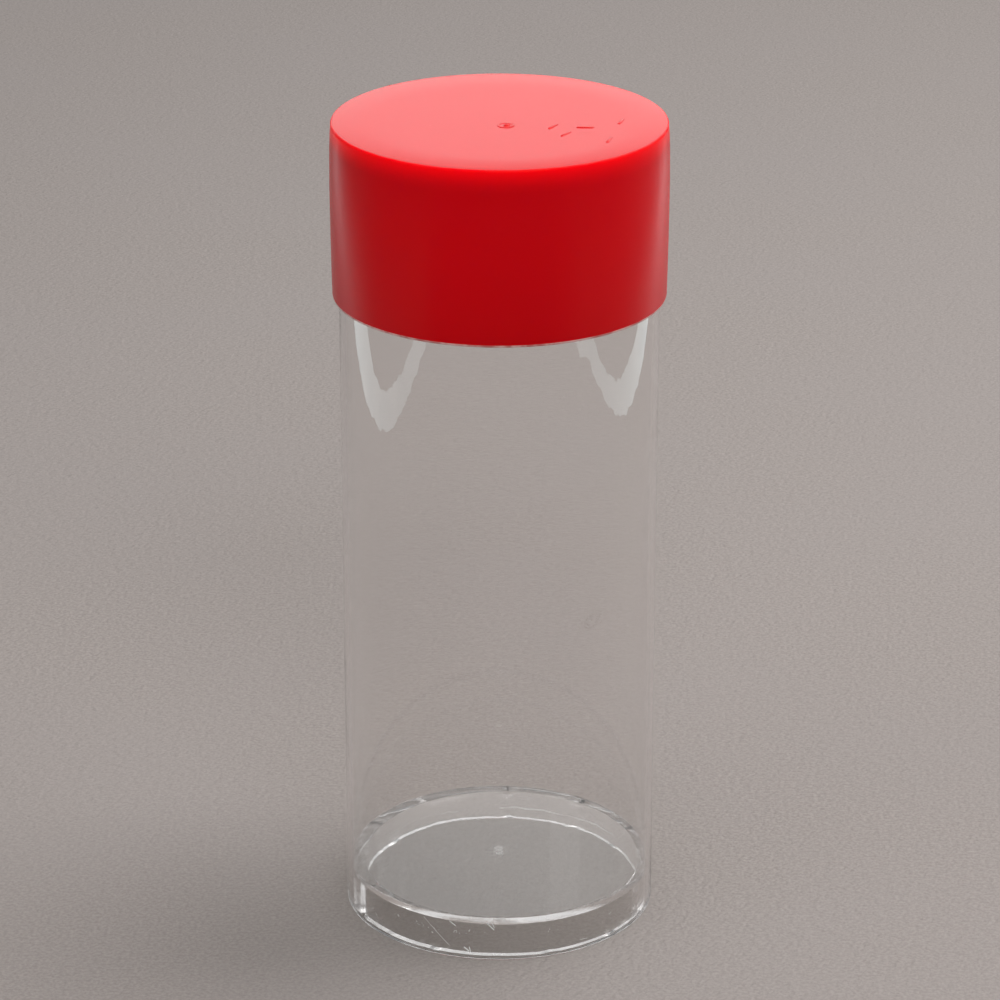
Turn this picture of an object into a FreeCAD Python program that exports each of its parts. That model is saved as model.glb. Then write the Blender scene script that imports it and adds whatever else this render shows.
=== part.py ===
import FreeCAD, Part
import math
import os

import Sketcher
from FreeCAD import Vector

# A clear plastic tube that stands upright on its open lower end.  A moulded plug, shaped like a
# shallow cup turned upside down, is cemented inside the lower end and is the floor of the tube.
# A red cap slips over the upper end and pulls straight off.
#
# Frame: millimetres, +Z up, origin at the centre of the face that the tube stands on.

SIZES = {
    # The tube: a length of extruded stock, sawn square.
    "tube_radius": 38.1,
    "tube_wall": 1.5,
    "tube_length": 198.6,
    "tube_edge_break": 0.2,
    # The plug in its lower end. Its skirt stops just short of the face that the tube stands on.
    "plug_height": 11.0,
    "plug_lift": 0.9,
    "plug_floor": 2.5,
    "plug_wall": 2.1,
    "plug_shoulder": 1.1,
    "plug_gate_radius": 0.9,
    "plug_gate_height": 0.15,
    # The bead of cement in the groove between the plug's rounded shoulder and the tube.
    "bead_rise": 0.3,
    "bead_foot": 0.4,
    # The cap.
    "cap_height": 42.3,
    "cap_roof": 1.9,
    "cap_seat_gap": 0.05,
    "cap_clearance": 0.08,
    "cap_rim_radius": 39.65,
    "cap_belly_radius": 39.95,
    "cap_belly_drop": 14.0,
    "cap_top_radius": 39.55,
    "cap_edge_round": 0.5,
    "cap_lead_in": 0.35,
    # The raised marks that moulding leaves on the cap's roof.
    "gate_radius": 2.1,
    "gate_height": 0.35,
    "gate_across": 1.4,
    "gate_back": -4.5,
    "mark_height": 0.2,
    "mark_width": 0.8,
    "mark_length": 4.2,
}

# Plain raised bars on the cap's roof, to the right of the gate: the middle of each, across and
# back, and the turn of its length from the X axis, in degrees.
MARKS = {
    "first": (12.4, -5.2, 60),
    "second": (15.3, -11.2, 60),
    "third": (19.9, -5.9, 0),
    "fourth": (28.3, -1.2, 75),
    "fifth": (25.2, -15.8, 75),
}
for mark, (across, back, turn) in MARKS.items():
    SIZES[f"{mark}_mark_across"] = across
    SIZES[f"{mark}_mark_back"] = back
    SIZES[f"{mark}_mark_turn"] = turn

doc = FreeCAD.newDocument("DrawingTube")


def make_sheet():
    """The spreadsheet that holds every driving size, one alias a row."""
    sheet = doc.addObject("Spreadsheet::Sheet", "Sizes")
    for row, (alias, value) in enumerate(SIZES.items(), start=1):
        sheet.set(f"A{row}", alias)
        sheet.set(f"B{row}", str(value))
        sheet.setAlias(f"B{row}", alias)
    doc.recompute()
    return sheet


def sheet_text(text):
    """An expression in which every size is written with the spreadsheet's name."""
    words = sorted(SIZES, key=len, reverse=True)
    for number, word in enumerate(words):
        text = text.replace(word, f"<{number}>")
    for number, word in enumerate(words):
        text = text.replace(f"<{number}>", f"Sizes.{word}")
    return text


def value_of(text):
    return float(SHEET.evalExpression(sheet_text(text)))


def new_body(name):
    body = doc.addObject("PartDesign::Body", name)
    body.Label = name
    return body


def origin_plane(body, role):
    return next(feature for feature in body.Origin.OriginFeatures if feature.Role == role)


def new_sketch(body, name, role="XZ_Plane", lift=None):
    """A sketch on one of the body's own planes, moved along the plane's normal by lift."""
    sketch = body.newObject("Sketcher::SketchObject", name)
    sketch.AttachmentSupport = [(origin_plane(body, role), "")]
    sketch.MapMode = "FlatFace"
    if lift:
        sketch.setExpression(".AttachmentOffset.Base.z", sheet_text(lift))
    return sketch


def pin_point(sketch, edge, end, across, up):
    """Fix one point of a sketch edge at the sheet's values of across and up."""
    origin, point = (-1, 1), (edge, end)
    for text, direction, axis in ((across, "DistanceX", -2), (up, "DistanceY", -1)):
        value = value_of(text)
        if text == "0":
            sketch.addConstraint(Sketcher.Constraint("PointOnObject", *point, axis))
        elif value > 0:
            number = sketch.addConstraint(Sketcher.Constraint(direction, *origin, *point, value))
            sketch.setExpression(f"Constraints[{number}]", sheet_text(text))
        else:
            number = sketch.addConstraint(Sketcher.Constraint(direction, *point, *origin, -value))
            sketch.setExpression(f"Constraints[{number}]", sheet_text(f"-({text})"))


def draw_outline(sketch, corners):
    """A closed outline of straight edges through corners, each a pair of expressions."""
    points = [Vector(value_of(across), value_of(up), 0) for across, up in corners]
    count = len(points)
    for i in range(count):
        sketch.addGeometry(Part.LineSegment(points[i], points[(i + 1) % count]), False)
    for i in range(count):
        sketch.addConstraint(Sketcher.Constraint("Coincident", i, 2, (i + 1) % count, 1))
    for i, (across, up) in enumerate(corners):
        pin_point(sketch, i, 1, across, up)


def revolve(body, sketch, name):
    """The sketch turned once round the body's Z axis, which is the sketch's vertical."""
    turned = body.newObject("PartDesign::Revolution", name)
    turned.Profile = sketch
    turned.ReferenceAxis = (sketch, ["V_Axis"])
    turned.Angle = 360
    doc.recompute()
    return turned


def round_edges(base):
    """Names of the feature's full-circle edges, with radius and height of each."""
    found = []
    for number, edge in enumerate(base.Shape.Edges, start=1):
        if isinstance(edge.Curve, Part.Circle):
            found.append((f"Edge{number}", edge.Curve.Radius, edge.Curve.Center.z))
    return found


def edges_at(base, radius, height):
    """Names of the circular edges of the given radius at the given height."""
    near = 0.01
    radius, height = value_of(radius), value_of(height)
    return [
        name
        for name, edge_radius, edge_height in round_edges(base)
        if abs(edge_radius - radius) < near and abs(edge_height - height) < near
    ]


def dress(body, kind, name, base, places, prop, size):
    """A Fillet or Chamfer on the base's circular edges at places, pairs of radius and height."""
    edges = [edge for radius, height in places for edge in edges_at(base, radius, height)]
    dressed = body.newObject(f"PartDesign::{kind}", name)
    dressed.Base = (base, edges)
    dressed.setExpression(prop, sheet_text(size))
    doc.recompute()
    return dressed


def raise_pad(body, sketch, name, height):
    pad = body.newObject("PartDesign::Pad", name)
    pad.Profile = sketch
    pad.setExpression("Length", sheet_text(height))
    doc.recompute()
    return pad


def add_circle(sketch, radius, centre=("0", "0")):
    middle = Vector(value_of(centre[0]), value_of(centre[1]), 0)
    circle = sketch.addGeometry(Part.Circle(middle, Vector(0, 0, 1), value_of(radius)), False)
    size = sketch.addConstraint(Sketcher.Constraint("Radius", circle, value_of(radius)))
    sketch.setExpression(f"Constraints[{size}]", sheet_text(radius))
    pin_point(sketch, circle, 3, *centre)


def make_tube():
    """A ring padded to length, with both sawn ends lightly broken."""
    body = new_body("tube")
    ring = new_sketch(body, "TubeRing", "XY_Plane")
    add_circle(ring, "tube_radius")
    add_circle(ring, "tube_radius - tube_wall")
    length = raise_pad(body, ring, "TubeLength", "tube_length")
    rims = [
        (radius, height)
        for radius in ("tube_radius", "tube_radius - tube_wall")
        for height in ("0", "tube_length")
    ]
    dress(body, "Chamfer", "TubeEdges", length, rims, "Size", "tube_edge_break")
    return body


def make_base_plug():
    """An upside-down cup: a flat floor, a thin skirt, and a rounded shoulder between them."""
    body = new_body("base_plug")
    outer = "tube_radius - tube_wall"
    inner = "tube_radius - tube_wall - plug_wall"
    under = "plug_height - plug_floor"
    half = new_sketch(body, "PlugHalf")
    corners = [
        ("0", under),
        (inner, under),
        (inner, "plug_lift"),
        (outer, "plug_lift"),
        (outer, "plug_height"),
        ("0", "plug_height"),
    ]
    draw_outline(half, corners)
    cup = revolve(body, half, "PlugCup")
    shoulder = [(outer, "plug_height")]
    dress(body, "Fillet", "PlugShoulder", cup, shoulder, "Radius", "plug_shoulder")
    gate = new_sketch(body, "PlugGate", "XY_Plane", "plug_height")
    add_circle(gate, "plug_gate_radius")
    raise_pad(body, gate, "PlugGateNub", "plug_gate_height")
    return body


def make_cement_bead():
    """The set cement that fills the groove round the plug's shoulder and creeps up the tube."""
    body = new_body("cement_bead")
    half = new_sketch(body, "BeadHalf")
    wall = "tube_radius - tube_wall"
    centre = ("tube_radius - tube_wall - plug_shoulder", "plug_height - plug_shoulder")
    crest = ("tube_radius - tube_wall - plug_shoulder", "plug_height")
    foot = ("tube_radius - tube_wall - plug_shoulder - bead_foot", "plug_height")
    high = (wall, "plug_height + bead_rise")
    low = (wall, "plug_height - plug_shoulder")

    middle, *ring = [Vector(value_of(x), value_of(z), 0) for x, z in (centre, crest, foot, high, low)]
    shoulder = Part.Circle(middle, Vector(0, 0, 1), value_of("plug_shoulder"))
    half.addGeometry(Part.ArcOfCircle(shoulder, 0, math.pi / 2), False)
    for start, stop in zip(ring, ring[1:]):
        half.addGeometry(Part.LineSegment(start, stop), False)
    edges = half.GeometryCount
    for edge in range(edges):
        half.addConstraint(Sketcher.Constraint("Coincident", edge, 2, (edge + 1) % edges, 1))
    pin_point(half, 0, 3, *centre)
    for edge, corner in enumerate((crest, foot, high), start=1):
        pin_point(half, edge, 1, *corner)
    half.addConstraint(Sketcher.Constraint("Horizontal", 0, 3, 0, 1))
    revolve(body, half, "BeadRing")
    return body


def make_cap():
    """A slip-on cup over the tube's upper end, swollen a little where the tube stretches it."""
    body = new_body("cap")
    roof = "tube_length + cap_seat_gap"
    top = "tube_length + cap_seat_gap + cap_roof"
    rim = "tube_length + cap_seat_gap + cap_roof - cap_height"
    belly = "tube_length + cap_seat_gap + cap_roof - cap_belly_drop"
    bore = "tube_radius + cap_clearance"
    half = new_sketch(body, "CapHalf")
    corners = [
        ("0", roof),
        (bore, roof),
        (bore, rim),
        ("cap_rim_radius", rim),
        ("cap_belly_radius", belly),
        ("cap_top_radius", top),
        ("0", top),
    ]
    draw_outline(half, corners)
    cup = revolve(body, half, "CapCup")
    edge = [("cap_top_radius", top)]
    rounded = dress(body, "Fillet", "CapEdge", cup, edge, "Radius", "cap_edge_round")
    mouth = [(bore, rim)]
    dress(body, "Chamfer", "CapLeadIn", rounded, mouth, "Size", "cap_lead_in")
    gate = new_sketch(body, "CapGate", "XY_Plane", top)
    add_circle(gate, "gate_radius", ("gate_across", "gate_back"))
    raise_pad(body, gate, "CapGateNub", "gate_height")
    for mark in MARKS:
        add_mark(body, mark, top)
    return body


def add_mark(body, mark, top):
    """One plain raised bar, centred on its place in the sheet and turned about Z."""
    bar = body.newObject("PartDesign::AdditiveBox", f"{mark.capitalize()}Mark")
    bar.AttachmentSupport = [(origin_plane(body, "XY_Plane"), "")]
    bar.MapMode = "FlatFace"
    across = f"{mark}_mark_across"
    back = f"{mark}_mark_back"
    turn = f"{mark}_mark_turn"
    half_along = "mark_length / 2"
    half_wide = "mark_width / 2"
    bar.setExpression("Length", sheet_text("mark_length"))
    bar.setExpression("Width", sheet_text("mark_width"))
    bar.setExpression("Height", sheet_text("mark_height"))
    cosine = f"cos({turn} * 1deg)"
    sine = f"sin({turn} * 1deg)"
    corner_across = f"{across} - {half_along} * {cosine} + {half_wide} * {sine}"
    corner_back = f"{back} - {half_along} * {sine} - {half_wide} * {cosine}"
    bar.setExpression(".AttachmentOffset.Base.x", sheet_text(corner_across))
    bar.setExpression(".AttachmentOffset.Base.y", sheet_text(corner_back))
    bar.setExpression(".AttachmentOffset.Base.z", sheet_text(top))
    bar.setExpression(".AttachmentOffset.Rotation.Angle", sheet_text(turn))
    doc.recompute()


SHEET = make_sheet()
PIECES = [make_tube(), make_base_plug(), make_cement_bead(), make_cap()]
doc.recompute()

for item in doc.Objects:
    if "Invalid" in item.State or "Error" in item.State:
        raise RuntimeError(f"{item.Name} failed: {item.State}")

os.makedirs("parts", exist_ok=True)
for piece in PIECES:
    shape = piece.Shape
    if shape.isNull() or not shape.isValid() or len(shape.Solids) != 1:
        raise RuntimeError(f"{piece.Label} is not one sound solid")
    print(f"{piece.Label}: {shape.Volume:.1f} mm3, top at {shape.BoundBox.ZMax:.2f} mm")
    shape.exportStep(os.path.join("parts", f"{piece.Label}.step"))
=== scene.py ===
import math
import random

import bmesh
import bpy
from mathutils import Euler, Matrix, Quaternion, Vector


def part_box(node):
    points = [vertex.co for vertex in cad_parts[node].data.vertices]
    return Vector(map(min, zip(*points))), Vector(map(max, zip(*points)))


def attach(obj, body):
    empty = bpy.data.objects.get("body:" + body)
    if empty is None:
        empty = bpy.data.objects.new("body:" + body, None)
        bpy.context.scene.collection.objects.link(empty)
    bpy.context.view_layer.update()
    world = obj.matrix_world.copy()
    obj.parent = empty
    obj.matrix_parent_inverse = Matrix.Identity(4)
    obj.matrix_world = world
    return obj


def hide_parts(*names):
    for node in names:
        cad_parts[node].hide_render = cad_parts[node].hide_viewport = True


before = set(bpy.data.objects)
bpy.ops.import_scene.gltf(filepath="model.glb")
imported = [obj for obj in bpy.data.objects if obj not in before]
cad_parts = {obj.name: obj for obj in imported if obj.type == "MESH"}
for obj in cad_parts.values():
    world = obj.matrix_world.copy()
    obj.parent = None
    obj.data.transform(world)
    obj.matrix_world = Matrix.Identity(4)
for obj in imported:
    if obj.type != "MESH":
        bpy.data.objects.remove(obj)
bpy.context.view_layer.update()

scene = bpy.context.scene
MM = 0.001
TURN = 2 * math.pi

# ---------------------------------------------------------------- sizes, in mm
tube_low, tube_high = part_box("tube")
plug_low, plug_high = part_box("base_plug")
cap_low, cap_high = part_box("cap")
TUBE_R = tube_high.x / MM
TUBE_TOP = tube_high.z / MM
TUBE_WALL = 1.5
BORE_R = TUBE_R - TUBE_WALL
EDGE = 0.2              # how far the tube's edges are broken

PLUG_GATE = 0.15        # height of the gate vestige
PLUG_TOP = plug_high.z / MM - PLUG_GATE
PLUG_LOW = plug_low.z / MM
PLUG_FLOOR = 2.5
PLUG_GAP = 0.06         # between the plug and the tube
PLUG_SINK = 0.10        # how far the plate's middle lies under the top that the CAD plug has
PLUG_R = BORE_R - PLUG_GAP
PLATE_TOP = PLUG_TOP - PLUG_SINK
FILM_GAP = 0.012        # keeps the film of cement off the faces on both sides of it

CAP_LOW = cap_low.z / MM
CAP_GATE = 0.35
CAP_TOP = cap_high.z / MM - CAP_GATE
CAP_ROOF = 1.9
CAP_SWELL = 0.30        # how much wider the cap's belly is than its rim
SWELL_FROM = 0.60       # where the swelling starts above the rim
SWELL_OVER = 27.0       # the height over which it grows
CAP_RIM_ROUND = 0.45
CAP_TOP_ROUND = 0.5
CAP_LEAD_IN = 0.35
CAP_BELLY_R = cap_high.x / MM
CAP_RIM_R = CAP_BELLY_R - CAP_SWELL
CAP_DRAWN_IN = 0.40     # how much the side draws in again at the top
CAP_SHOULDER = ((0.08, 7.0), (0.22, 3.0), (CAP_DRAWN_IN, 0.9))      # drawn in by, and how far under the top
CAP_TOP_R = CAP_BELLY_R - CAP_DRAWN_IN
CAP_FIT = 0.08          # clearance between the cap's bore and the tube
CAP_BORE_R = TUBE_R + CAP_FIT

SEGMENTS = 384          # faces round every turned piece
PLASTIC_IOR = 1.49


# ---------------------------------------------------------------- node helpers
class Tree:
    """A small wrapper that makes node trees short to write."""

    def __init__(self, material):
        material.use_nodes = True
        self.tree = material.node_tree
        self.tree.nodes.clear()
        self.out = self.node("ShaderNodeOutputMaterial")

    def node(self, kind, **values):
        made = self.tree.nodes.new(kind)
        for key, value in values.items():
            setattr(made, key, value)
        return made

    def put(self, value, socket):
        if isinstance(value, bpy.types.NodeSocket):
            self.tree.links.new(value, socket)
        else:
            socket.default_value = value

    def math(self, how, a, b=0.0, c=0.0, clamp=False):
        made = self.node("ShaderNodeMath", operation=how, use_clamp=clamp)
        for value, socket in zip((a, b, c), made.inputs):
            self.put(value, socket)
        return made.outputs[0]

    def span(self, value, low, high, to_low=0.0, to_high=1.0, smooth=True):
        made = self.node("ShaderNodeMapRange")
        made.interpolation_type = "SMOOTHSTEP" if smooth else "LINEAR"
        for v, socket in zip((value, low, high, to_low, to_high), made.inputs):
            self.put(v, socket)
        return made.outputs[0]

    def place(self):
        return self.node("ShaderNodeTexCoord").outputs["Object"]

    def split(self, vector):
        made = self.node("ShaderNodeSeparateXYZ")
        self.put(vector, made.inputs[0])
        return made.outputs

    def join(self, x, y, z):
        made = self.node("ShaderNodeCombineXYZ")
        for v, socket in zip((x, y, z), made.inputs):
            self.put(v, socket)
        return made.outputs[0]

    def scaled(self, vector, scale):
        made = self.node("ShaderNodeMapping")
        self.put(vector, made.inputs["Vector"])
        made.inputs["Scale"].default_value = scale
        return made.outputs[0]

    def noise(self, vector, scale, detail=2.0, rough=0.5, warp=0.0):
        made = self.node("ShaderNodeTexNoise")
        self.put(vector, made.inputs["Vector"])
        made.inputs["Scale"].default_value = scale
        made.inputs["Detail"].default_value = detail
        made.inputs["Roughness"].default_value = rough
        made.inputs["Distortion"].default_value = warp
        return made.outputs["Fac"]

    def cells(self, vector, scale):
        made = self.node("ShaderNodeTexVoronoi")
        self.put(vector, made.inputs["Vector"])
        made.inputs["Scale"].default_value = scale
        return made.outputs["Distance"]

    def blend(self, share, a, b):
        made = self.node("ShaderNodeMix", data_type="RGBA")
        self.put(share, made.inputs[0])
        self.put(a, made.inputs[6])
        self.put(b, made.inputs[7])
        return made.outputs[2]

    def bump(self, height, distance, strength=1.0, under=None):
        made = self.node("ShaderNodeBump")
        made.inputs["Strength"].default_value = strength
        made.inputs["Distance"].default_value = distance
        self.put(height, made.inputs["Height"])
        if under is not None:
            self.put(under, made.inputs["Normal"])
        return made.outputs[0]

    def shader(self, **values):
        made = self.node("ShaderNodeBsdfPrincipled")
        for key, value in values.items():
            self.put(value, made.inputs[key.replace("_", " ")])
        return made.outputs[0]

    def clear(self, colour):
        made = self.node("ShaderNodeBsdfTransparent")
        made.inputs[0].default_value = colour
        return made.outputs[0]

    def mix(self, share, a, b):
        made = self.node("ShaderNodeMixShader")
        self.put(share, made.inputs[0])
        self.put(a, made.inputs[1])
        self.put(b, made.inputs[2])
        return made.outputs[0]

    def finish(self, surface):
        self.put(surface, self.out.inputs["Surface"])

    def glass(self, **values):
        return self.shader(IOR=PLASTIC_IOR, Transmission_Weight=1.0, **values)

    def finish_clear(self, surface):
        """Ends the material, and lets light through the clear plastic where it would throw a shadow."""
        in_shadow = self.node("ShaderNodeLightPath").outputs["Is Shadow Ray"]
        self.finish(self.mix(in_shadow, surface, self.clear(THROUGH)))

    def around(self, radius):
        """Distance round the axis from the front and height, both in mm."""
        x, y, z = self.split(self.place())
        turn = self.math("ARCTAN2", x, self.math("MULTIPLY", y, -1.0))
        return self.math("MULTIPLY", turn, radius), self.math("MULTIPLY", z, 1000.0)

    def strokes(self, u, v, lines):
        """A mask of short thin marks: each is (u0, v0, u1, v1, half width) in mm."""
        whole = 0.0
        for u0, v0, u1, v1, half in lines:
            du, dv = u1 - u0, v1 - v0
            size = max(du * du + dv * dv, 1e-6)
            pu, pv = self.math("SUBTRACT", u, u0), self.math("SUBTRACT", v, v0)
            dot = self.math("ADD", self.math("MULTIPLY", pu, du), self.math("MULTIPLY", pv, dv))
            along = self.math("DIVIDE", dot, size, clamp=True)
            eu = self.math("SUBTRACT", pu, self.math("MULTIPLY", along, du))
            ev = self.math("SUBTRACT", pv, self.math("MULTIPLY", along, dv))
            gap = self.length(eu, ev)
            whole = self.math("MAXIMUM", whole, self.span(gap, half * 1.2, half * 0.6))
        return whole

    def length(self, a, b):
        return self.math("SQRT", self.math("ADD", self.math("MULTIPLY", a, a), self.math("MULTIPLY", b, b)))


# ---------------------------------------------------------------- materials
CLEAR = (0.994, 0.990, 0.987, 1.0)      # the clear plastic's own tint
THROUGH = (0.93, 0.93, 0.925, 1.0)      # what is left of light that crosses one face of it
CHALK = (0.90, 0.90, 0.89, 1.0)
CHALK_PAINTED_GLOW = (1.0, 0.99, 0.97, 1.0)     # painted glow: the chalk marks emit a little light, which keeps them white where the lamps leave them dark

# where the fingertip print is, in mm round the tube and up it, with its half width and half height
PRINT_AT, PRINT_UP, PRINT_WIDE, PRINT_TALL = 24.2, 86.7, 5.2, 2.9

# chalky marks on the plug's side: (u0, v0, u1, v1, half width), mm round the plug from the front and mm up
CHALK_MARKS = [
    (-12.0, 9.0, -10.6, 8.0, 0.14), (-2.9, 9.4, -1.3, 7.7, 0.16), (-1.6, 9.3, -1.2, 8.2, 0.10),
    (-18.9, 8.8, -12.2, 2.4, 0.05), (-8.4, 2.4, -7.4, 1.6, 0.20), (-7.2, 2.6, -6.9, 1.2, 0.12),
    (-38.9, 1.9, -38.1, 0.9, 0.18), (-37.0, 1.4, -35.8, 0.8, 0.12), (-26.6, 6.9, -26.3, 6.7, 0.12),
    (-21.0, 7.0, -20.8, 6.9, 0.10), (-16.7, 5.1, -16.5, 5.0, 0.14), (20.5, 2.1, 22.5, 1.9, 0.06),
]


def tube_clear():
    m = bpy.data.materials.new("clear_tube")
    t = Tree(m)
    where = t.place()
    u, v = t.around(TUBE_R)
    # faint die lines along the extruded tube, and slow unevenness of the drawn wall
    lines = t.noise(t.scaled(where, (1.0, 1.0, 0.012)), 900.0, 3.0, 0.6)
    slow = t.noise(t.scaled(where, (1.0, 1.0, 0.45)), 42.0, 2.0, 0.5)
    normal = t.bump(lines, 0.000004, 1.0, t.bump(slow, 0.00008))
    # one fingertip print low on the front, and thin haze
    pu, pv = t.math("SUBTRACT", u, PRINT_AT), t.math("SUBTRACT", v, PRINT_UP)
    pv = t.math("ADD", pv, t.math("MULTIPLY", pu, -0.18))
    spot = t.length(t.math("DIVIDE", pu, PRINT_WIDE), t.math("DIVIDE", pv, PRINT_TALL))
    whorl = t.math("ADD", spot, t.math("MULTIPLY", t.noise(where, 260.0), 0.5))
    ridge = t.math("SINE", t.math("MULTIPLY", whorl, 38.0))
    print_mask = t.math("MULTIPLY", t.span(spot, 1.0, 0.35), t.span(ridge, -0.2, 0.5))
    print_mask = t.math("MULTIPLY", print_mask, t.span(t.noise(where, 700.0, 3.0), 0.42, 0.6))
    haze = t.span(t.noise(where, 24.0, 4.0, 0.6), 0.52, 0.78)
    rough = t.math("ADD", t.math("MULTIPLY", haze, 0.018), t.math("MULTIPLY", print_mask, 0.22))
    tint = t.blend(t.math("MULTIPLY", print_mask, 0.5), CLEAR, (0.62, 0.60, 0.58, 1.0))
    t.finish_clear(t.glass(Base_Color=tint, Roughness=rough, Normal=normal))
    return m


def plug_clear():
    m = bpy.data.materials.new("clear_plug")
    t = Tree(m)
    where = t.place()
    x, y, _ = t.split(where)
    # moulded plate: slow ripples, and a star of crazing round the gate in the middle
    across = t.length(x, y)
    turn = t.math("ARCTAN2", y, x)
    slow = t.noise(where, 55.0, 2.0, 0.5)
    fine = t.noise(where, 1500.0, 3.0, 0.6)
    normal = t.bump(fine, 0.0000035, 1.0, t.bump(slow, 0.00006))
    ring = t.join(t.math("COSINE", turn), t.math("SINE", turn), t.math("MULTIPLY", across, 60.0))
    rays = t.span(t.noise(ring, 5.5, 3.0, 0.65), 0.5, 0.62)
    star = t.math("MULTIPLY", rays, t.span(across, 0.0042, 0.0006))
    star = t.math("MAXIMUM", star, t.span(across, 0.0013, 0.0005))
    scuff = t.span(t.noise(where, 90.0, 4.0, 0.65), 0.55, 0.8)
    rough = t.math("ADD", t.math("MULTIPLY", star, 0.35), t.math("MULTIPLY", scuff, 0.03))
    body = t.glass(Base_Color=CLEAR, Roughness=rough, Normal=normal)
    crazed = t.shader(Base_Color=(0.80, 0.80, 0.79, 1.0), Roughness=0.5, Normal=normal)
    t.finish_clear(t.mix(t.math("MULTIPLY", star, 0.35), body, crazed))
    return m


def cement_clear():
    m = bpy.data.materials.new("cement")
    t = Tree(m)
    where = t.place()
    lumps = t.noise(where, 420.0, 3.0, 0.55)
    normal = t.bump(lumps, 0.00012)
    rough = t.math("ADD", 0.02, t.math("MULTIPLY", t.span(t.noise(where, 160.0), 0.45, 0.7), 0.12))
    t.finish_clear(t.glass(Base_Color=CLEAR, Roughness=rough, Normal=normal))
    return m


def plug_side():
    """The plug's side, pressed against the bore: clear, with trapped bubbles and dried strings of cement. The
    bubbles are drawn as white specks, which are painted glints, and every mark carries a painted glow.
    """
    m = bpy.data.materials.new("plug_side")
    t = Tree(m)
    u, v = t.around(BORE_R)
    marks = t.strokes(u, v, CHALK_MARKS)
    # a wandering row of bubbles, drawn as white specks: painted glints
    cell = t.cells(t.join(u, v, 0.0), 1.5)
    drift = t.noise(t.join(u, 0.0, 0.0), 0.35)
    level = t.math("SUBTRACT", v, t.math("ADD", 6.5, t.math("MULTIPLY", t.math("SUBTRACT", drift, 0.5), 2.5)))
    band = t.span(t.math("ABSOLUTE", level), 0.75, 0.25)
    patch = t.span(t.noise(t.join(u, 3.0, 0.0), 0.11), 0.48, 0.56)
    bubbles = t.math("MULTIPLY", t.math("MULTIPLY", t.span(cell, 0.26, 0.14), band), patch)
    # the ragged lower edge of the film, dried white in places, strongest at the back
    ragged = t.math("SUBTRACT", t.noise(t.join(u, 7.0, 0.0), 0.16, 3.0, 0.6), 0.5)
    edge = t.math("ADD", 3.45, t.math("MULTIPLY", ragged, 2.2))
    thick = t.span(t.noise(t.join(u, 11.0, 0.0), 0.12, 2.0), 0.42, 0.62, 0.02, 0.16)
    off = t.math("ABSOLUTE", t.math("SUBTRACT", v, edge))
    rear = t.span(t.math("ABSOLUTE", t.math("SUBTRACT", u, 101.0)), 26.0, 14.0)
    rear_left = t.math("MULTIPLY", t.span(t.math("ABSOLUTE", t.math("ADD", u, 88.0)), 24.0, 12.0), 0.35)
    dried = t.span(t.math("DIVIDE", off, thick), 1.3, 0.7)
    line = t.math("MULTIPLY", dried, t.math("MAXIMUM", rear, rear_left))
    spots = t.math("MAXIMUM", t.math("MAXIMUM", marks, bubbles), line)
    # painted glow: every chalk mark, bubble and dried string of cement emits a little light of its own
    chalk_with_painted_glow = t.shader(Base_Color=CHALK, Roughness=0.45, Emission_Color=CHALK_PAINTED_GLOW, Emission_Strength=0.35)
    ripple = t.noise(t.scaled(t.place(), (1.0, 1.0, 0.3)), 180.0, 2.0, 0.5)
    body = t.glass(Base_Color=CLEAR, Roughness=0.015, Normal=t.bump(ripple, 0.00002))
    t.finish_clear(t.mix(spots, body, chalk_with_painted_glow))
    return m


def sawn_edge():
    """The cut and trimmed ends of the clear pieces: polished enough to glint, with fine saw lines."""
    m = bpy.data.materials.new("sawn_edge")
    t = Tree(m)
    where = t.place()
    grain = t.noise(t.scaled(where, (1.0, 0.12, 1.0)), 1800.0, 3.0, 0.6)
    normal = t.bump(grain, 0.000012)
    rough = t.span(t.noise(where, 300.0, 3.0), 0.3, 0.7, 0.02, 0.12)
    t.finish_clear(t.glass(Base_Color=CLEAR, Roughness=rough, Normal=normal))
    return m


def cap_red(name, shine, reach, low, high, glow=0.0):
    """The cap's soft plastic. Shine is how strongly it mirrors; reach is how far, in metres, red light
    travels inside it; low and high are how bright its red is painted at the rim and at the top, a painted
    shading that makes the side lighter upwards; glow is the strength of a painted red glow under its upper
    edge."""
    m = bpy.data.materials.new(name)
    t = Tree(m)
    where = t.place()
    _, _, z = t.split(where)
    cloud = t.noise(where, 34.0, 3.0, 0.55)
    speck = t.noise(where, 2400.0, 2.0, 0.5)
    peel = t.noise(where, 500.0, 2.0, 0.5)
    rubs = t.noise(t.scaled(where, (1.0, 1.0, 0.35)), 900.0, 3.0, 0.6, 0.8)
    # painted shading: the red runs from low at the rim to high 6 mm under the top, so the side grows lighter
    # upwards
    level = t.span(z, CAP_LOW * MM, (CAP_TOP - 6.0) * MM, low, high, smooth=False)
    level = t.math("MULTIPLY", level, t.span(cloud, 0.35, 0.65, 0.985, 1.0))
    tone = t.node("ShaderNodeCombineColor")
    t.put(level, tone.inputs[0])
    tone.inputs[1].default_value = 0.0005
    t.put(t.math("MULTIPLY", level, 0.0080), tone.inputs[2])
    normal = t.bump(speck, 0.000001, 1.0, t.bump(peel, 0.000006))
    rough = t.span(rubs, 0.25, 0.8, 0.262, 0.274, smooth=False)
    values = dict(Base_Color=tone.outputs[0], Roughness=rough, Normal=normal, IOR=1.46,
                  Specular_IOR_Level=shine, Specular_Tint=(1.0, 0.93, 0.72, 1.0),
                  Subsurface_Weight=1.0, Subsurface_Radius=(reach, 0.0004, 0.0003), Subsurface_Scale=1.0)
    if glow:
        # painted glow: red emission just under the upper edge stands in for light that has entered the roof
        # and comes out there
        edge = t.span(z, (CAP_TOP - 5.5) * MM, (CAP_TOP - 0.2) * MM)
        values.update(Emission_Color=(1.0, 0.0, 0.0, 1.0), Emission_Strength=t.math("MULTIPLY", edge, glow))
    t.finish(t.shader(**values))
    return m


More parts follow.
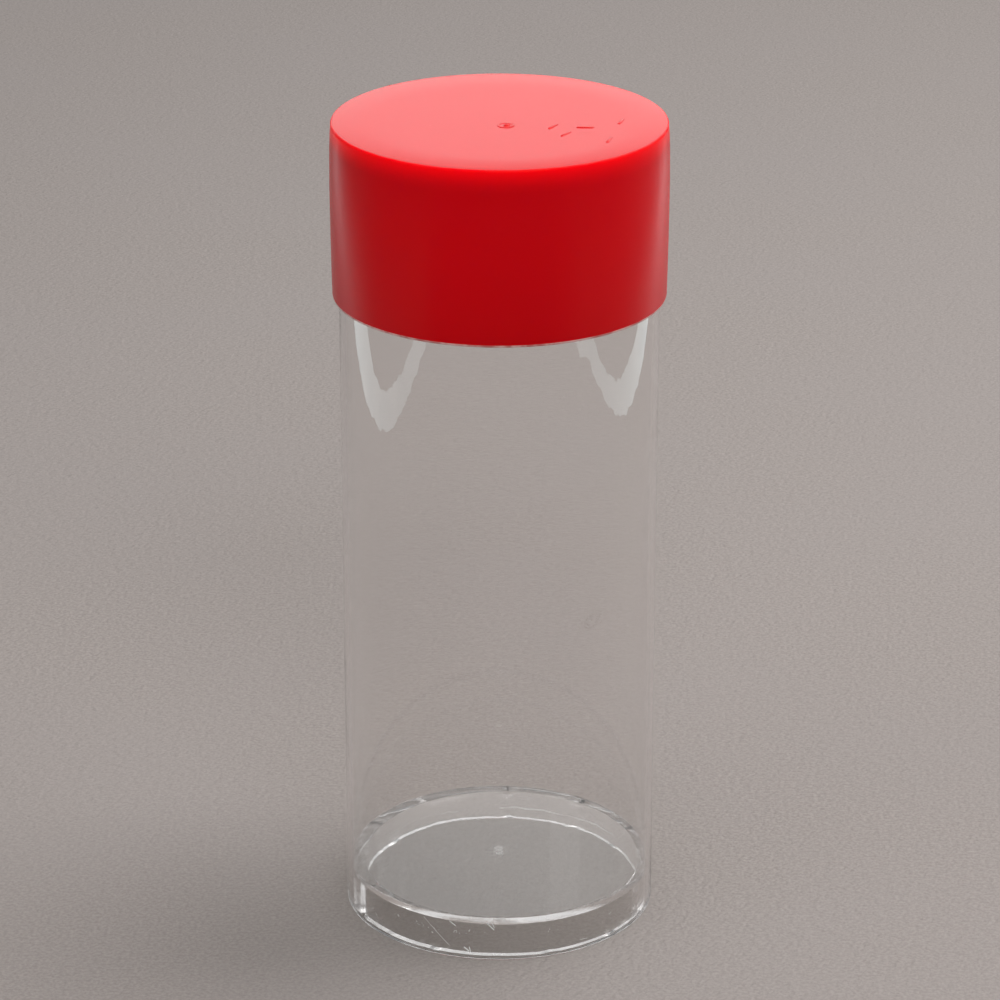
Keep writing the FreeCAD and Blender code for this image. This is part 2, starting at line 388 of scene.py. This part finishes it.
def cap_rim():
    """The cap's lower edge, painted pale pink: a painted highlight along the rounded rim."""
    m = bpy.data.materials.new("red_cap_rim")
    t = Tree(m)
    where = t.place()
    # painted highlight: patches of paler pink along the rim, also a little rougher
    highlight_patches = t.span(t.noise(where, 260.0, 3.0, 0.6), 0.38, 0.62)
    tone = t.blend(highlight_patches, (0.62, 0.16, 0.15, 1.0), (0.88, 0.52, 0.49, 1.0))
    t.finish(t.shader(Base_Color=tone, Roughness=t.span(highlight_patches, 0.0, 1.0, 0.30, 0.45),
                      Normal=t.bump(t.noise(where, 1500.0, 2.0, 0.5), 0.00001)))
    return m


def paper():
    """The floor: grained grey-beige paper with a felt-like surface."""
    m = bpy.data.materials.new("paper_floor")
    t = Tree(m)
    where = t.place()
    turned_place = t.node("ShaderNodeMapping")
    t.put(where, turned_place.inputs["Vector"])
    turned_place.inputs["Rotation"].default_value = (0.0, 0.0, math.radians(38))
    grain = t.noise(where, 1100.0, 3.0, 0.6)
    weave = t.noise(t.scaled(turned_place.outputs[0], (1.0, 0.45, 1.0)), 640.0, 2.0, 0.55)
    felt = t.noise(where, 420.0, 3.0, 0.6)
    blotch = t.noise(where, 9.0, 3.0, 0.5)
    tone = t.blend(t.span(grain, 0.3, 0.7), (0.352, 0.309, 0.287, 1.0), (0.450, 0.398, 0.372, 1.0))
    tone = t.blend(t.math("MULTIPLY", t.span(blotch, 0.3, 0.7), 0.35), tone, (0.405, 0.361, 0.346, 1.0))
    normal = t.bump(weave, 0.00060, 0.9, t.bump(felt, 0.00045, 0.7))
    t.finish(t.shader(Base_Color=tone, Roughness=0.9, Normal=normal))
    return m


# ---------------------------------------------------------------- turned pieces
def turned(name, section, materials):
    """Turns a closed section about Z. The section is a list of (r, z, slot): r and z in mm, or functions of
    the angle, and slot is the material of the face from this point to the next."""
    mesh = bpy.data.meshes.new(name)
    made = bmesh.new()
    rings = []
    for r, z, _ in section:
        if not callable(r) and r < 1e-6:
            rings.append([made.verts.new((0, 0, z * MM))] * SEGMENTS)
            continue
        ring = []
        for k in range(SEGMENTS):
            a = TURN * k / SEGMENTS
            rr = (r(a) if callable(r) else r) * MM
            zz = (z(a) if callable(z) else z) * MM
            ring.append(made.verts.new((rr * math.cos(a), rr * math.sin(a), zz)))
        rings.append(ring)
    for i, (_, _, slot) in enumerate(section):
        one, two = rings[i], rings[(i + 1) % len(section)]
        if one[0] is one[-1] and two[0] is two[-1]:
            continue
        for k in range(SEGMENTS):
            j = (k + 1) % SEGMENTS
            corners = list(dict.fromkeys((one[k], one[j], two[j], two[k])))
            face = made.faces.new(corners)
            face.material_index = slot
            face.smooth = True
    bmesh.ops.recalc_face_normals(made, faces=made.faces)
    made.to_mesh(mesh)
    made.free()
    mesh.set_sharp_from_angle(angle=math.radians(32))
    for material in materials:
        mesh.materials.append(material)
    piece = bpy.data.objects.new(name, mesh)
    scene.collection.objects.link(piece)
    return piece


def bend(cx, cz, radius, start, end, steps, slot):
    """Points of an arc of the section, from start to end degrees."""
    return [(cx + radius * math.cos(math.radians(start + (end - start) * i / steps)),
             cz + radius * math.sin(math.radians(start + (end - start) * i / steps)), slot)
            for i in range(steps + 1)]


def wander(seed, parts, kinks=()):
    """A function of the angle: a seeded sum of slow waves, with sharp kinks of (degrees, width, height)."""
    dice = random.Random(seed)
    waves = [(n, height * dice.uniform(0.6, 1.0), dice.uniform(0, TURN)) for n, height in parts]

    def value(a):
        total = sum(h * math.sin(n * a + p) for n, h, p in waves)
        for at, width, height in kinks:
            off = (math.degrees(a) - at + 180) % 360 - 180
            total += height * math.exp(-(off / width) ** 2)
        return total
    return value


# the plug's hand-trimmed edges wander, with a few sharp kinks: (degrees, width, height)
KINKS = [(87, 2.2, 0.34), (61, 1.4, -0.26), (56, 2.0, 0.16), (34, 2.0, -0.30), (118, 3.0, 0.20),
         (143, 2.5, -0.22), (205, 3.0, 0.24), (246, 2.0, -0.20), (291, 2.6, 0.22), (318, 2.0, -0.26),
         (352, 3.0, 0.2)]
sway = wander(7, [(3, 0.10), (7, 0.08), (13, 0.06), (29, 0.035), (53, 0.02)], KINKS)


def tilt(r, a):
    """The height of the plate's top, a little higher at the back: the plug was pressed in out of true."""
    return PLATE_TOP + 0.05 * (r / BORE_R) * math.sin(a)


def plate(r):
    return lambda a: tilt(r, a)


def under_plate(r):
    return lambda a: tilt(r, a) - PLUG_FLOOR


def ring_in(a):
    """The radius of the skirt's inside. The skirt is thicker on the left and thinner at the back."""
    thick = 2.09 - 0.525 * math.sin(a) - 0.65 * math.cos(a) + 0.26 * math.cos(2 * a)
    return BORE_R - thick + 0.45 * sway(a)


def rim_top(a):
    return tilt(BORE_R, a) + 0.04 + 0.40 * sway(a)


def rim_in(a):
    return tilt(BORE_R, a)


def rim_under(a):
    return tilt(BORE_R, a) - PLUG_FLOOR


def skirt_low(a):
    """The skirt's rim: trimmed by hand, not quite square to the tube."""
    return PLUG_LOW - 0.2 + 0.25 * math.sin(a) + 1.05 * sway(a + 0.02)


def film_top(a):
    return rim_top(a) + 0.14


def film_low(a):
    return rim_top(a) - 0.08


def film_inner(a):
    return rim_top(a) + 0.03


glass_tube, glass_plug, glass_cement = tube_clear(), plug_clear(), cement_clear()
side, sawn = plug_side(), sawn_edge()
# the side carries painted shading, lighter upwards, and a painted red glow under its upper edge
red_side = cap_red("red_cap_side", 0.12, 0.0040, 0.76, 1.0, glow=0.26)
red_roof = cap_red("red_cap_roof", 0.42, 0.0018, 1.0, 1.0)
red_rim = cap_rim()

# the material slots of the clear pieces, and those of the cap
SMOOTH, SAWN, PRESSED = 0, 1, 2
WALL, ROOF, RIM = 0, 1, 2

# the tube: a sawn length of clear pipe
tube = turned("tube_wall", [
    (TUBE_R - EDGE, 0.0, SAWN), (TUBE_R, EDGE, SMOOTH), (TUBE_R, TUBE_TOP - EDGE, SAWN),
    (TUBE_R - EDGE, TUBE_TOP, SAWN), (BORE_R + EDGE, TUBE_TOP, SAWN), (BORE_R, TUBE_TOP - EDGE, SMOOTH),
    (BORE_R, 20.0, SMOOTH), (BORE_R, EDGE, SAWN), (BORE_R + EDGE, 0.0, SAWN),
], [glass_tube, sawn])

# the plug: a cup, open downwards, whose plate closes the tube
plug_section = [(PLUG_R, skirt_low, PRESSED), (PLUG_R, rim_top, SMOOTH), (ring_in, rim_in, SMOOTH)]
plug_section += [(r, plate(r), SMOOTH) for r in (30.0, 24.0, 12.0, 4.0, 1.1)]
plug_section += [(0.75, PLATE_TOP + PLUG_GATE * 0.3, SMOOTH), (0.4, PLATE_TOP + PLUG_GATE * 0.4, SMOOTH),
                 (0.0, PLATE_TOP + PLUG_GATE * 0.2, SMOOTH), (0.0, PLATE_TOP - PLUG_FLOOR, SMOOTH)]
plug_section += [(r, under_plate(r), SMOOTH) for r in (12.0, 24.0)]
plug_section += [(ring_in, rim_under, SMOOTH), (ring_in, skirt_low, SAWN)]
plug = turned("plug_cup", plug_section, [glass_plug, sawn, side])

# the cement: a thin uneven film in the crack between plug and tube, with a ragged upper edge
cement_section = [(PLUG_R + FILM_GAP, film_low, SMOOTH), (BORE_R - FILM_GAP, film_low, SMOOTH),
                  (BORE_R - FILM_GAP, film_top, SMOOTH), (PLUG_R + FILM_GAP, film_inner, SMOOTH)]
cement = turned("cement_fillet", cement_section, [glass_cement])

# the cap: a soft moulded cup that pushes over the tube
rim_middle = (CAP_RIM_R - CAP_RIM_ROUND, CAP_LOW + CAP_RIM_ROUND)
top_middle = (CAP_TOP_R - CAP_TOP_ROUND, CAP_TOP - CAP_TOP_ROUND)
cap_section = [(CAP_RIM_R - CAP_RIM_ROUND, CAP_LOW, RIM)]
cap_section += bend(*rim_middle, CAP_RIM_ROUND, -75, -15, 4, RIM)
cap_section += [(CAP_RIM_R, CAP_LOW + CAP_RIM_ROUND, RIM), (CAP_RIM_R, CAP_LOW + SWELL_FROM, WALL)]
cap_section += [(CAP_RIM_R + CAP_SWELL * math.sin(math.pi / 2 * share),
                 CAP_LOW + SWELL_FROM + SWELL_OVER * share, WALL) for share in (0.1, 0.3, 0.5, 0.75, 1.0)]
cap_section += [(CAP_BELLY_R - drawn_in, CAP_TOP - down, WALL) for drawn_in, down in CAP_SHOULDER]
cap_section += bend(*top_middle, CAP_TOP_ROUND, 0, 60, 4, WALL)[1:]
cap_section += bend(*top_middle, CAP_TOP_ROUND, 75, 90, 1, ROOF)
cap_section += [(30.0, CAP_TOP, ROOF), (15.0, CAP_TOP, ROOF), (0.0, CAP_TOP, WALL)]
cap_section += [(r, CAP_TOP - CAP_ROOF, WALL) for r in (0.0, 20.0, CAP_BORE_R)]
cap_section += [(CAP_BORE_R, CAP_LOW + CAP_LEAD_IN, WALL), (CAP_BORE_R + CAP_LEAD_IN, CAP_LOW, WALL)]
cap = turned("cap_shell", cap_section, [red_side, red_roof, red_rim])


# plain raised bars on the cap's roof: (across, back, turn), in mm and degrees
MARKS = [(12.4, -5.2, 60), (15.3, -11.2, 60), (19.9, -5.9, 0), (28.3, -1.2, 75), (25.2, -15.8, 75)]
# the outlines of a bar, from its sunk foot to its crown: (half length, radius, height) in mm
MARK_RINGS = [(1.7, 0.42, -0.4), (1.7, 0.42, 0.02), (1.66, 0.32, 0.13), (1.6, 0.16, 0.18)]
MARK_POINTS = 24

# the gate vestige: where its middle is, and its rings of (radius, height), in mm
GATE_ACROSS, GATE_BACK, GATE_POINTS = 1.4, -4.5, 40
GATE_RINGS = [(2.10, -0.4), (2.10, 0.02), (1.90, 0.14), (1.62, 0.16), (1.40, 0.08), (1.20, 0.05),
              (0.75, 0.05), (0.60, 0.16), (0.42, 0.32), (0.15, 0.35)]


def stack(made, rings):
    """Adds a small raised shell to a bmesh: rings of equal length in mm, from its sunk foot to its crown."""
    loops = [[made.verts.new(tuple(c * MM for c in point)) for point in ring] for ring in rings]
    count = len(loops[0])
    for one, two in zip(loops, loops[1:]):
        for k in range(count):
            made.faces.new((one[k], one[(k + 1) % count], two[(k + 1) % count], two[k]))
    made.faces.new(list(reversed(loops[0])))
    made.faces.new(loops[-1])


def mark_ring(across, back, turn, half_length, radius, height):
    """The outline of a bar with round ends, lying level over the cap's roof."""
    cosine, sine = math.cos(math.radians(turn)), math.sin(math.radians(turn))
    ring = []
    for k in range(MARK_POINTS):
        a = TURN * k / MARK_POINTS
        x = radius * math.cos(a) + (half_length if math.cos(a) > 0 else -half_length)
        y = radius * math.sin(a)
        ring.append((across + x * cosine - y * sine, back + x * sine + y * cosine, CAP_TOP + height))
    return ring


def gate_ring(radius, height):
    """One ring of the gate vestige. Its inner stub stands a little to one side."""
    aside = 0.25 if radius < 0.8 else 0.0
    angles = [TURN * k / GATE_POINTS for k in range(GATE_POINTS)]
    return [(GATE_ACROSS + aside + radius * math.cos(a), GATE_BACK + radius * math.sin(a), CAP_TOP + height)
            for a in angles]


marked = bmesh.new()
for across, back, turn in MARKS:
    stack(marked, [mark_ring(across, back, turn, *ring) for ring in MARK_RINGS])
stack(marked, [gate_ring(*ring) for ring in GATE_RINGS])
bmesh.ops.recalc_face_normals(marked, faces=marked.faces)
marks_mesh = bpy.data.meshes.new("cap_marks")
marked.to_mesh(marks_mesh)
marked.free()
for face in marks_mesh.polygons:
    face.use_smooth = True
    face.material_index = ROOF
for material in (red_side, red_roof):
    marks_mesh.materials.append(material)

# the marks are joined to the cap's own surface, because light spreads inside the plastic
marks = bpy.data.objects.new("cap_marks", marks_mesh)
scene.collection.objects.link(marks)
joiner = cap.modifiers.new("join_marks", "BOOLEAN")
joiner.operation = "UNION"
joiner.solver = "EXACT"
joiner.object = marks
joined = bpy.data.meshes.new_from_object(cap.evaluated_get(bpy.context.evaluated_depsgraph_get()))
cap.modifiers.clear()
cap.data = joined
bpy.data.objects.remove(marks)
joined.set_sharp_from_angle(angle=math.radians(38))

for piece, node, body, finish_slot in (
    (tube, "tube", "vessel", "clear_tube"),
    (plug, "base_plug", "vessel", "clear_plug"),
    (cement, "cement_bead", "vessel", "cement"),
    (cap, "cap", "lid", "red_cap"),
):
    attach(piece, body)
    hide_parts(node)

# ---------------------------------------------------------------- floor, light and camera
FLOOR_Z = -5e-5         # a hair under the tube's foot, so that the two faces don't coincide
floor_mesh = bpy.data.meshes.new("paper_sheet")
floor_mesh.from_pydata([(x, y, FLOOR_Z) for x, y in ((-4, -3), (4, -3), (4, 5), (-4, 5))], [], [(0, 1, 2, 3)])
floor_mesh.materials.append(paper())
floor = bpy.data.objects.new("paper_sheet", floor_mesh)
scene.collection.objects.link(floor)


def lamp(name, place, aim, size, power):
    data = bpy.data.lights.new(name, "AREA")
    data.shape = "RECTANGLE"
    data.size, data.size_y = size
    data.energy = power
    made = bpy.data.objects.new(name, data)
    scene.collection.objects.link(made)
    made.location = place
    made.rotation_euler = (Vector(aim) - Vector(place)).to_track_quat("-Z", "Y").to_euler()
    made.visible_camera = False


lamp("key_right", (1.15, 0.25, 1.15), (0, 0.1, 0.1), (0.9, 0.9), 5.3)
lamp("key_over", (0.35, 0.2, 1.2), (0, 0.1, 0.1), (0.5, 0.5), 4.6)
lamp("key_rear_right", (0.75, 0.95, 1.0), (0, 0.1, 0.1), (0.6, 0.6), 2.2)
lamp("fill_left", (-0.9, -0.6, 0.9), (0, 0.1, 0.1), (0.6, 0.6), 1.6)
lamp("fill_front", (0.3, -1.5, 1.4), (0, 0, 0.1), (1.0, 0.6), 10.9)
lamp("back_panel_low", (0.0, 2.3, 0.72), (0, 0, 0.1), (3.0, 0.45), 7.0)
lamp("back_panel_high", (0.0, 2.25, 1.18), (0, 0, 0.1), (3.0, 0.45), 2.6)


STRIP_STEPS, STRIP_RAGGED, STRIP_Z = 60, 0.0028, 0.001
STRIP_STRENGTH = 2.3
STRIP_DIM, STRIP_BRIGHT = (0.74, 0.84, 0.86, 1.0), (0.92, 1.0, 1.0, 1.0)


def edge_strip(name, near, far, seed):
    """A long ragged strip of light beside the object, beyond the view, that the clear wall mirrors as a slim
    V. It shows in reflections only. Near and far are its two edges, as (y, x) points in metres."""
    dice = random.Random(seed)

    def along(points, y):
        for (y0, x0), (y1, x1) in zip(points, points[1:]):
            if y <= y1:
                break
        return x0 + (x1 - x0) * (y - y0) / (y1 - y0)

    def side_of(points):
        return [(along(points, y) + dice.uniform(-STRIP_RAGGED, STRIP_RAGGED), y, STRIP_Z) for y in ys]

    start, stop = near[0][0], near[-1][0]
    ys = [start + (stop - start) * i / STRIP_STEPS for i in range(STRIP_STEPS + 1)]
    corners = side_of(near)
    corners += side_of(far)
    faces = [(i, i + 1, STRIP_STEPS + 2 + i, STRIP_STEPS + 1 + i) for i in range(STRIP_STEPS)]
    mesh = bpy.data.meshes.new(name)
    mesh.from_pydata(corners, [], faces)
    m = bpy.data.materials.new(name)
    t = Tree(m)
    glow = t.node("ShaderNodeEmission")
    level = t.span(t.noise(t.place(), 14.0, 3.0, 0.6), 0.3, 0.7)
    t.put(t.blend(level, STRIP_DIM, STRIP_BRIGHT), glow.inputs["Color"])
    glow.inputs["Strength"].default_value = STRIP_STRENGTH
    # it glows upwards only, so that the paper right under it stays as it is elsewhere
    face, clear = t.node("ShaderNodeNewGeometry"), t.node("ShaderNodeBsdfTransparent")
    t.finish(t.mix(face.outputs["Backfacing"], glow.outputs[0], clear.outputs[0]))
    mesh.materials.append(m)
    if mesh.polygons[0].normal.z < 0:
        mesh.flip_normals()
    made = bpy.data.objects.new(name, mesh)
    scene.collection.objects.link(made)
    made.visible_camera = False
    made.visible_transmission = False
    made.visible_diffuse = False
    made.visible_shadow = False


edge_strip("edge_strip_left",
           [(-0.34, -0.362), (-0.20, -0.378), (0.0, -0.371), (0.26, -0.380), (0.60, -0.385)],
           [(-0.34, -0.415), (0.0, -0.411), (0.06, -0.420), (0.13, -0.450), (0.60, -0.470)], 3)
edge_strip("edge_strip_right",
           [(-0.34, 0.372), (-0.26, 0.378), (-0.20, 0.402), (-0.10, 0.402), (0.03, 0.383), (0.29, 0.354),
            (0.60, 0.340)],
           [(-0.34, 0.440), (-0.18, 0.432), (0.0, 0.420), (0.20, 0.426), (0.60, 0.440)], 5)

world = bpy.data.worlds.new("studio_air")
world.use_nodes = True
world.node_tree.nodes["Background"].inputs[0].default_value = (0.97, 0.98, 1.0, 1.0)
world.node_tree.nodes["Background"].inputs[1].default_value = 0.245
scene.world = world

CAMERA_PLACE = (0.0, -0.93332, 0.48010)
CAMERA_DOWN, CAMERA_TURN, CAMERA_ROLL = 21.895, -0.0083, 0.036      # degrees
camera_data = bpy.data.cameras.new("camera")
camera_data.sensor_width = 36.0
camera_data.lens = 149.72
camera_data.clip_start = 0.02
camera_data.clip_end = 30.0
camera = bpy.data.objects.new("camera", camera_data)
scene.collection.objects.link(camera)
camera.location = CAMERA_PLACE
camera.rotation_mode = "QUATERNION"
facing = Euler((math.radians(90 - CAMERA_DOWN), 0.0, math.radians(CAMERA_TURN))).to_quaternion()
camera.rotation_quaternion = facing @ Quaternion((0, 0, 1), math.radians(CAMERA_ROLL))
scene.camera = camera

scene.view_settings.view_transform = "Standard"
BOUNCES = 36            # light crosses many clear faces before it leaves the plug
for limit in ("max_bounces", "transmission_bounces", "glossy_bounces", "transparent_max_bounces"):
    setattr(scene.cycles, limit, BOUNCES)
scene.cycles.caustics_refractive = False
scene.cycles.caustics_reflective = False
